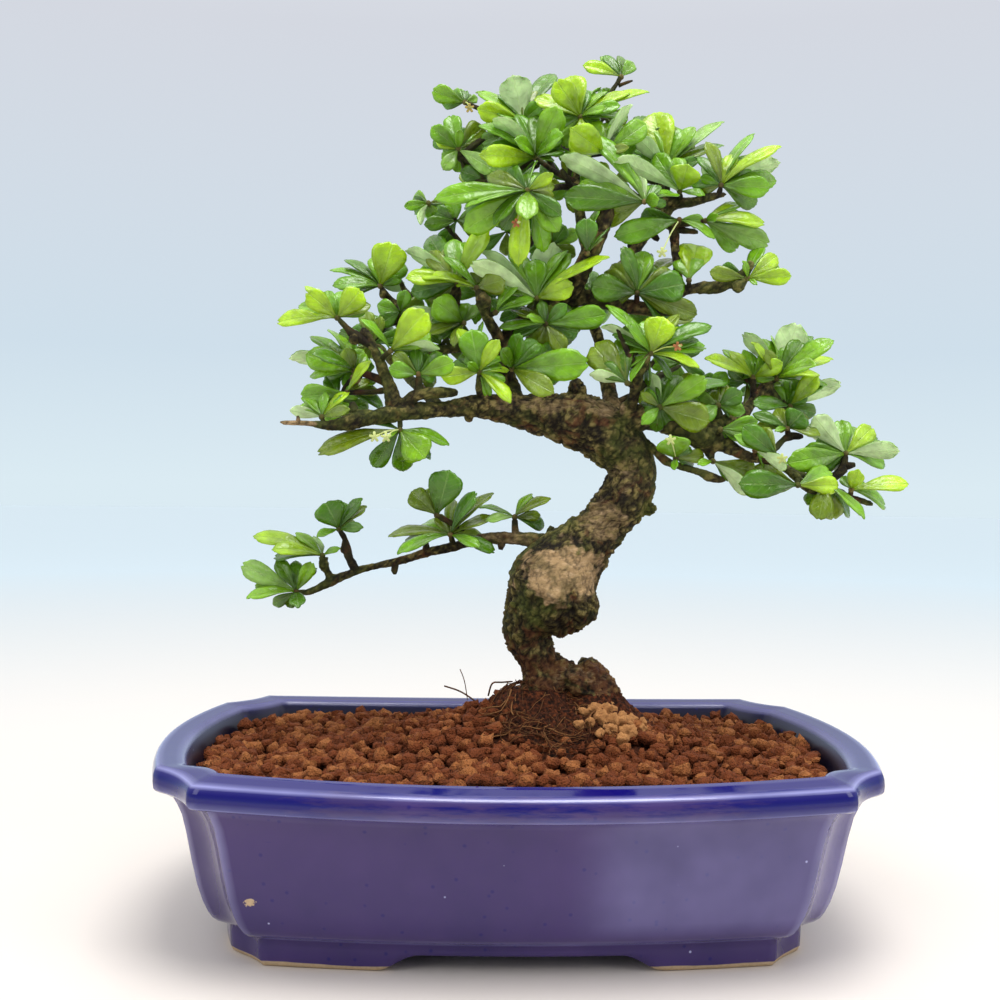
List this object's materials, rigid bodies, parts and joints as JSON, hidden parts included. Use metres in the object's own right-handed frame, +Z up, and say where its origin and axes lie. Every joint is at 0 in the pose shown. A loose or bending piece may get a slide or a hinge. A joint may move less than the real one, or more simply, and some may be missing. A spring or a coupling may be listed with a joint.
{
  "type": "potted bonsai tree",
  "caption": "Fukien tea bonsai with a curved trunk and open crown, in a shallow glazed rectangular pot with notched corners.",
  "frame": {"origin": "centre of the bounding box on the ground plane, under the feet of the pot", "axes": "+X to the right along the pot's long side, seen from the front; +Y away from the viewer; +Z up"},
  "size_m": [0.3158, 0.213, 0.3794],
  "materials": {
    "glaze": "deep cobalt glaze, glossy, violet-blue on the body, lavender where it breaks over the edges",
    "drain_screen": "dark plastic mesh",
    "soil": "reddish-brown baked clay granules, matt",
    "root_ball": "dark damp earth held together by fine roots",
    "bark": "rough dark olive-brown bark",
    "leaf": "glossy leaves, yellow-green when young and dark green when old"
  },
  "bodies": {
    "root": {"pot": "glaze", "drain_screen_left": "drain_screen", "drain_screen_right": "drain_screen", "soil": "soil", "root_ball": "root_ball", "trunk": "bark", "leaf_spray_01": "leaf", "leaf_spray_02": "leaf", "leaf_spray_03": "leaf", "leaf_spray_04": "leaf", "leaf_spray_05": "leaf", "leaf_spray_06": "leaf", "leaf_spray_07": "leaf", "leaf_spray_08": "leaf", "leaf_spray_09": "leaf", "leaf_spray_10": "leaf", "leaf_spray_11": "leaf", "leaf_spray_12": "leaf", "leaf_spray_13": "leaf", "leaf_spray_14": "leaf", "leaf_spray_15": "leaf", "leaf_spray_16": "leaf", "leaf_spray_17": "leaf", "leaf_spray_18": "leaf", "leaf_spray_19": "leaf", "leaf_spray_20": "leaf", "leaf_spray_21": "leaf", "leaf_spray_22": "leaf", "leaf_spray_23": "leaf", "leaf_spray_24": "leaf", "leaf_spray_25": "leaf", "leaf_spray_26": "leaf", "leaf_spray_27": "leaf", "leaf_spray_28": "leaf", "leaf_spray_29": "leaf", "leaf_spray_30": "leaf", "leaf_spray_31": "leaf", "leaf_spray_32": "leaf", "leaf_spray_33": "leaf", "leaf_spray_34": "leaf", "leaf_spray_35": "leaf", "leaf_spray_36": "leaf", "leaf_spray_37": "leaf", "leaf_spray_38": "leaf", "leaf_spray_39": "leaf", "leaf_spray_40": "leaf", "leaf_spray_41": "leaf", "leaf_spray_42": "leaf", "leaf_spray_43": "leaf", "leaf_spray_44": "leaf", "leaf_spray_45": "leaf", "leaf_spray_46": "leaf", "leaf_spray_47": "leaf", "leaf_spray_48": "leaf", "leaf_spray_49": "leaf", "leaf_spray_50": "leaf", "leaf_spray_51": "leaf", "leaf_spray_52": "leaf", "leaf_spray_53": "leaf"}
  },
  "joints": []
}
